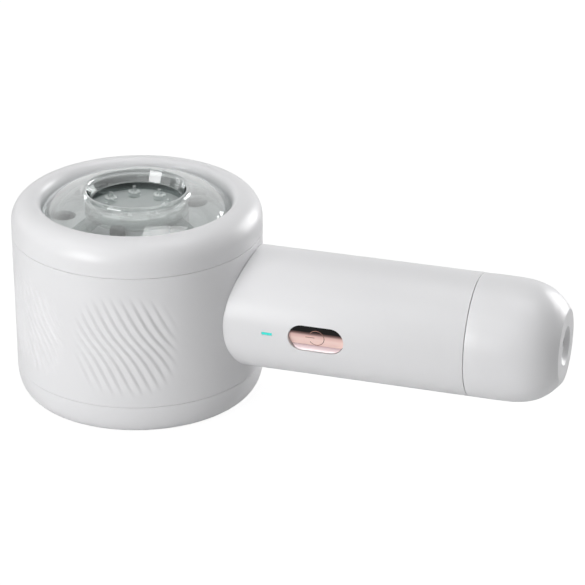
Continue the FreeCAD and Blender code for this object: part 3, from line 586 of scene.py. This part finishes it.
def makeFloorDisc():
    bottom, top = low("cup_floor").z, high("cup_floor").z
    radius = high("cup_floor").x
    outline = softened([(0, bottom), (radius, bottom), (radius, top), (0, top)], disc["edge"])
    return toObject("cupFloor", lathe(outline, disc["steps"]))


screw = {"places": ((-88, 61.8 * mm), (-28, 59.4 * mm), (152, 59.4 * mm)),  # degrees, top
         "circle": 19 * mm, "shank": 1.1 * mm, "crest": 2.45 * mm, "root": 1.95 * mm, "ridges": 20,
         "seat": 57.4 * mm, "chamfer": 0.5 * mm}


def makeScrews():
    # each has a tall fluted head with a chamfered top
    shape = bmesh.new()
    bottom, seat, chamfer = low("cup_screws").z, screw["seat"], screw["chamfer"]
    count = screw["ridges"] * 4
    centre, shank, fluted, edge = range(4)
    for angle, top in screw["places"]:
        turn = math.radians(angle)
        x, y = screw["circle"] * math.cos(turn), screw["circle"] * math.sin(turn)
        levels = [(bottom, centre), (bottom, shank), (seat, shank), (seat, fluted),
                  (top - chamfer, fluted), (top, edge), (top, centre)]
        rings = []
        for z, kind in levels:
            ring = []
            for k in range(count):
                wave = 0.5 + 0.5 * math.cos(2 * math.pi * k / 4)
                flute = screw["root"] + (screw["crest"] - screw["root"]) * wave
                reach = (0, screw["shank"], flute, flute - chamfer)[kind]
                around = 2 * math.pi * k / count
                ring.append(shape.verts.new(
                    (x + reach * math.cos(around), y + reach * math.sin(around), z)))
            rings.append(ring)
        for here, there in zip(rings, rings[1:]):
            bridge(shape, here, there)
    bmesh.ops.remove_doubles(shape, verts=shape.verts, dist=1e-7)
    return toObject("cupScrews", shape, 40)


darkSteel = metal("blackenedSteel", tone(0.003, 0.003, 0.003), tone(0.10, 0.105, 0.105), 0.25,
                  (1, 1, 0.1))
piece(makeScrews(), darkSteel, "lint_cup", "steel", "cup_screws")
piece(makeRim(), looks["white_shell"], "lint_cup", "white_shell", "cup_rim")
piece(makeDome(), looks["clear_plastic"], "lint_cup", "clear_plastic", "cup_dome")
piece(makePosts(), looks["clear_plastic"], "lint_cup", "clear_plastic", "vent_posts")
piece(makeFloorDisc(), looks["smoked_plastic"], "lint_cup", "smoked_plastic", "cup_floor")
print("lint cup made")


# handle

tube = {"wall": 1.9 * mm, "edge": 0.15 * mm, "steps": 320, "saddleGap": 0.1 * mm}
button = {"length": 18 * mm, "width": 8.6 * mm, "gap": 0.15 * mm, "recess": 0.3 * mm,
          "scoop": 1.0 * mm, "hollow": 1.7, "creaseHeight": -2.5 * mm,
          "columns": 48, "upperRows": 32, "lowerRows": 8}


def tubeNormal(point):
    # the true round normal, so that the cuts leave no shading marks
    y, z = point.y, point.z - axisZ
    reach = math.hypot(y, z)
    if abs(reach - handleRadius) > 0.02 * mm or point.x > handleEnd - tube["edge"] * 1.1:
        return None
    return Vector((0, y / reach, z / reach))


def makeTube():
    start = headRadius / 2
    inner = handleRadius - tube["wall"]
    outline = [(inner, start), (handleRadius, start), (handleRadius, handleEnd), (inner, handleEnd)]
    made = toObject("handleTube", lathe(softened(outline, tube["edge"]), tube["steps"], "x", axisZ))
    head = headRadius + tube["saddleGap"]
    under, over = -10 * mm, 80 * mm
    saddle = lathe([(0, under), (head, under), (head, over), (0, over)], 512)
    outside, reach = -30 * mm, 20 * mm
    hole = prism(obroundOutline(button["length"], button["width"]),
                 lambda u, v, d: (buttonX + u, outside + d, axisZ + v), reach)
    gap = button["gap"]
    left, right = low("light_pipe").x - gap, high("light_pipe").x + gap
    lower, upper = low("light_pipe").z - gap, high("light_pipe").z + gap
    slot = prism([(left, lower), (right, lower), (right, upper), (left, upper)],
                 lambda u, v, d: (u, outside + d, v), reach)
    carve(made, saddle, hole, slot)
    reshade(made, tubeNormal)
    return made


def buttonFace(z):
    # depth of the button's scooped face at a height above the handle's axis
    surface = -math.sqrt(handleRadius ** 2 - z * z) + button["recess"]
    top, crease, bottom = button["width"] / 2, button["creaseHeight"], -button["width"] / 2
    if z > crease:
        share = (top - z) / (top - crease)
        share = 1 - (1 - share) ** button["hollow"]
    else:
        share = (z - bottom) / (crease - bottom)
    return surface + button["scoop"] * share


def makeButton():
    length = button["length"] - 2 * button["gap"]
    width = button["width"] - 2 * button["gap"]
    crease, above, below = button["creaseHeight"], button["upperRows"], button["lowerRows"]
    heights = [width / 2 + (crease - width / 2) * i / above for i in range(above)]
    heights += [crease + (-width / 2 - crease) * i / below for i in range(below + 1)]
    shape = bmesh.new()
    columns = button["columns"]
    half = (length - width) / 2
    grid = []
    for z in heights:
        reach = half + math.sqrt(max(0, (width / 2) ** 2 - z * z))
        grid.append([(buttonX + reach * (2 * k / columns - 1), z) for k in range(columns + 1)])
    back = high("power_button").y
    front = [[shape.verts.new((x, buttonFace(z), axisZ + z)) for x, z in row] for row in grid]
    rear = [[shape.verts.new((x, back, axisZ + z)) for x, z in row] for row in grid]
    for i in range(len(grid) - 1):
        for k in range(columns):
            shape.faces.new((front[i][k], front[i][k + 1], front[i + 1][k + 1], front[i + 1][k]))
            shape.faces.new((rear[i][k], rear[i + 1][k], rear[i + 1][k + 1], rear[i][k + 1]))
    for i in range(len(grid) - 1):
        for k in (0, columns):
            shape.faces.new((front[i][k], front[i + 1][k], rear[i + 1][k], rear[i][k]))
    for i in (0, len(grid) - 1):
        for k in range(columns):
            shape.faces.new((front[i][k], rear[i][k], rear[i][k + 1], front[i][k + 1]))
    bmesh.ops.remove_doubles(shape, verts=shape.verts, dist=1e-7)
    return toObject("powerButton", shape, 14)


mark = {"radius": 2.5 * mm, "breadth": 0.11 * mm, "gapAngle": 36, "dashStart": -3.5 * mm,
        "dashLength": 2.9 * mm, "lift": 0.25 * mm, "sides": 8}


def makeMark():
    # the generic power sign, open towards the head, as fine raised lines
    radius, breadth, gapAngle = mark["radius"], mark["breadth"], mark["gapAngle"]
    lines = [[(radius * math.cos(math.radians(a)), radius * math.sin(math.radians(a)))
              for a in range(-180 + gapAngle, 181 - gapAngle, 4)],
             [(mark["dashStart"] + mark["dashLength"] * i / 12, 0) for i in range(13)]]
    shape = bmesh.new()
    for line in lines:
        rings = []
        for i, (u, v) in enumerate(line):
            nextU, nextV = line[min(i + 1, len(line) - 1)]
            lastU, lastV = line[max(i - 1, 0)]
            away = Vector((lastV - nextV, nextU - lastU)).normalized()
            ring = []
            for k in range(mark["sides"]):
                turn = 2 * math.pi * k / mark["sides"]
                side = breadth * math.cos(turn)
                z = v + mark["lift"] + away.y * side
                depth = buttonFace(z) - breadth * 0.5 * math.sin(turn)
                ring.append(shape.verts.new((buttonX + u + away.x * side, depth, axisZ + z)))
            rings.append(ring)
        for here, there in zip(rings, rings[1:]):
            bridge(shape, here, there)
        shape.faces.new(rings[0][::-1])
        shape.faces.new(rings[-1])
    return toObject("powerMark", shape, 60)


piece(makeTube(), looks["white_shell"], "housing", "white_shell", "handle_tube")
piece(makeButton(), looks["rose_metal"], "button", "rose_metal", "power_button")
markLook = metal("markLine", tone(0.30, 0.16, 0.13), tone(0.36, 0.20, 0.17), 0.4)
piece(makeMark(), markLook, "button", "rose_metal")
print("handle and button made")


# tail cap

tail = {"straight": 5.3 * mm, "face": 11.56 * mm, "wall": 2.3 * mm, "edge": 0.15 * mm,
        "dish": 6.2 * mm, "dishDepth": 1.5 * mm, "portWidth": 9.34 * mm, "portHeight": 3.6 * mm,
        "spigot": 6 * mm, "spigotWall": 1.5 * mm, "roundness": 4}


def tailCurve(start, end, big, small, count):
    # full at the start and rounding off faster and faster towards the end
    return [(big - (big - small) * (i / count) ** tail["roundness"], start + (end - start) * i / count)
            for i in range(count + 1)]


def makeTail():
    bend = handleEnd + tail["straight"]
    innerEnd = tailEnd - tail["dishDepth"] - tail["wall"]
    spigotOuter = handleRadius - tube["wall"] - fit["slide"]
    spigotInner = spigotOuter - tail["spigotWall"]
    spigotStart = handleEnd - tail["spigot"]
    capStart = handleEnd + fit["gap"]
    dishFloor = tailEnd - tail["dishDepth"]
    outline = [(spigotInner, spigotStart), (spigotOuter, spigotStart), (spigotOuter, capStart),
               (handleRadius, capStart)]
    outline += tailCurve(bend, tailEnd, handleRadius, tail["face"], 30)
    outline += [(tail["dish"], tailEnd), (tail["dish"] - tail["dishDepth"], dishFloor), (0, dishFloor),
                (0, innerEnd)]
    inside = tailCurve(bend, innerEnd, handleRadius - tail["wall"], tail["face"] - tail["wall"], 24)
    outline += inside[::-1] + [(spigotInner, capStart)]
    sharp = 24
    made = toObject("tailCap", lathe(softened(outline, tail["edge"]), 256, "x", axisZ), sharp)
    reach = 5 * mm  # the port's hole starts this far in front of the dish's floor and ends as far behind
    hole = prism(obroundOutline(tail["portWidth"], tail["portHeight"]),
                 lambda u, v, d: (dishFloor - reach + d, u, axisZ + v), 2 * reach)
    carve(made, hole)
    reshade(made, lambda point: None, sharp)
    return made


piece(makeTail(), looks["white_shell"], "housing", "white_shell", "tail_cap")
print("tail made")


# shaving foil with punched holes

foil = {"pitch": 1.55 * mm, "hole": 0.56 * mm, "border": 27.2 * mm, "sides": 10}


def makeFoil():
    # a flat sheet with staggered round holes, filled once and copied to the other side
    shape = bmesh.new()
    radius = high("foil_mesh").x
    bottom, top = low("foil_mesh").z, high("foil_mesh").z
    pitch, hole, border = foil["pitch"], foil["hole"], foil["border"]
    loops = [arc((0, 0), (radius, radius), 0, 360, 160)[:-1]]
    rowStep = pitch * math.sqrt(3) / 2
    rows, columns = int(border / rowStep), int(border / pitch) + 1
    for j in range(-rows, rows + 1):
        shift = pitch / 2 if j % 2 else 0
        for i in range(-columns, columns + 1):
            x, y = i * pitch + shift, j * rowStep
            if math.hypot(x, y) + hole < border:
                loops.append(arc((x, y), (hole, hole), 360, 0, foil["sides"])[:-1])
    edges = []
    rings = []
    for loop in loops:
        verts = [shape.verts.new((x, y, bottom)) for x, y in loop]
        edges += [shape.edges.new((verts[k], verts[(k + 1) % len(verts)])) for k in range(len(verts))]
        rings.append(verts)
    bmesh.ops.triangle_fill(shape, use_beauty=True, use_dissolve=False, edges=edges)
    bottomFaces = list(shape.faces)
    copy = bmesh.ops.duplicate(shape, geom=list(shape.verts) + list(shape.edges) + bottomFaces)
    pairs = copy["vert_map"]
    for verts in rings:
        count = len(verts)
        for k in range(count):
            a, b = verts[k], verts[(k + 1) % count]
            shape.faces.new((a, b, pairs[b], pairs[a]))
    for verts in rings:
        for vert in verts:
            pairs[vert].co.z = top
    return toObject("shavingFoil", shape)


piece(makeFoil(), looks["steel"], "foil_ring", "steel", "foil_mesh")
print("foil made")


# floor, light and camera

studio = {"floor": 3.0, "glow": 0.92, "world": 0.1, "target": (0.04, 0, 0.035),
          "softLights": ("topBack",)}


def floorLook(name, dark, light, glow):
    # matt and, by "glow", lit from within
    look = Look(name)
    return look.finish(Base_Color=look.blend(look.noise(12, 2), dark, light), Roughness=0.9,
                       Specular_IOR_Level=0.0, Emission_Color=tone(1, 1, 1), Emission_Strength=glow)


def makeFloor(name, depth, look):
    shape = bmesh.new()
    bmesh.ops.create_grid(shape, x_segments=8, y_segments=8, size=studio["floor"])
    made = toObject(name, shape)
    made.location.z = -depth
    made.data.materials.append(look)
    return made


# the floor that is seen, and under it the card that throws the soft light back up
floor = makeFloor("floor", 0.05 * mm, floorLook(
    "paleFloor", tone(0.16, 0.16, 0.16), tone(0.17, 0.17, 0.17), studio["glow"]))
floor.visible_diffuse = False
floor.visible_glossy = False
floor.visible_shadow = False
bounceCard = makeFloor("bounceCard", 0.15 * mm, floorLook(
    "bounceCard", tone(0.80, 0.80, 0.80), tone(0.82, 0.82, 0.82), 0.0))
bounceCard.visible_camera = False


surround = {"radius": 1.5, "low": -0.3, "high": 1.3, "top": 1.9, "eye": 0.01,
            "sideGlow": 0.62, "topGlow": 0.9}


def makeScreen(name, start, end, glow):
    # a band turned from one (radius, height) to another, which only shows in reflections
    shape = bmesh.new()
    turns = [math.radians(turn) for turn in range(0, 360, 10)]
    rings = [[shape.verts.new((radius * math.cos(turn), radius * math.sin(turn), z)) for turn in turns]
             for radius, z in (start, end)]
    bridge(shape, *rings)
    made = toObject(name, shape)
    made.data.materials.append(floorLook(name, tone(0.8, 0.8, 0.8), tone(0.82, 0.82, 0.82), glow))
    made.visible_camera = False
    made.visible_diffuse = False
    made.visible_shadow = False
    made.visible_transmission = False


eaves = (surround["radius"], surround["high"])
makeScreen("sideScreen", (surround["radius"], surround["low"]), eaves, surround["sideGlow"])
makeScreen("topScreen", eaves, (surround["eye"], surround["top"]), surround["topGlow"])


view = {"azimuth": 17.38, "elevation": 24.98, "distance": 0.79666, "target": (0.05184, 0, 0.03818),
        "lens": 155.05, "sensor": 36}


def towards(turn, rise):
    # unit vector at degrees to the right of the camera's own side and degrees up
    turn, rise = math.radians(view["azimuth"] + turn), math.radians(rise)
    return Vector((math.sin(turn) * math.cos(rise), -math.cos(turn) * math.cos(rise), math.sin(rise)))


def areaLight(name, away, size, power):
    lamp = bpy.data.lights.new(name, "AREA")
    lamp.shape = "RECTANGLE"
    lamp.size, lamp.size_y = size
    lamp.energy = power
    thing = bpy.data.objects.new(name, lamp)
    bpy.context.scene.collection.objects.link(thing)
    thing.location = Vector(studio["target"]) + away
    thing.rotation_euler = away.to_track_quat("Z", "Y").to_euler()
    return thing


# each light: degrees to the right of the camera, degrees up, distance, size, power
lights = {
    "keyLeft": (-45, 12, 1.0, (0.5, 0.5), 5.4),
    "backRight": (130, 12, 1.0, (0.5, 0.5), 5.0),
    "topBack": (180, 75, 1.0, (0.5, 0.5), 2.5),
    "topRight": (90, 75, 1.0, (0.5, 0.5), 1.7),
    "highLeft": (-70, 45, 1.0, (0.5, 0.5), 1.0),
    "front": (-25, 45, 1.0, (0.5, 0.5), 0.6),
}
for name, (turn, rise, distance, size, power) in lights.items():
    lamp = areaLight(name, towards(turn, rise) * distance, size, power)
    lamp.visible_glossy = name not in studio["softLights"]

world = bpy.data.worlds.new("studio")
world.use_nodes = True
background = world.node_tree.nodes["Background"]
background.inputs["Color"].default_value = tone(1, 1, 1)
background.inputs["Strength"].default_value = studio["world"]
bpy.context.scene.world = world

camera = bpy.data.cameras.new("camera")
camera.lens = view["lens"]
camera.sensor_width = view["sensor"]
camera.clip_start, camera.clip_end = 0.05, 10
cameraThing = bpy.data.objects.new("camera", camera)
bpy.context.scene.collection.objects.link(cameraThing)
cameraThing.location = Vector(view["target"]) + towards(0, view["elevation"]) * view["distance"]
cameraThing.rotation_euler = Euler((
    math.radians(90 - view["elevation"]), 0, math.radians(view["azimuth"])))
bpy.context.scene.camera = cameraThing
bpy.context.scene.view_settings.view_transform = "Standard"
print("studio made")
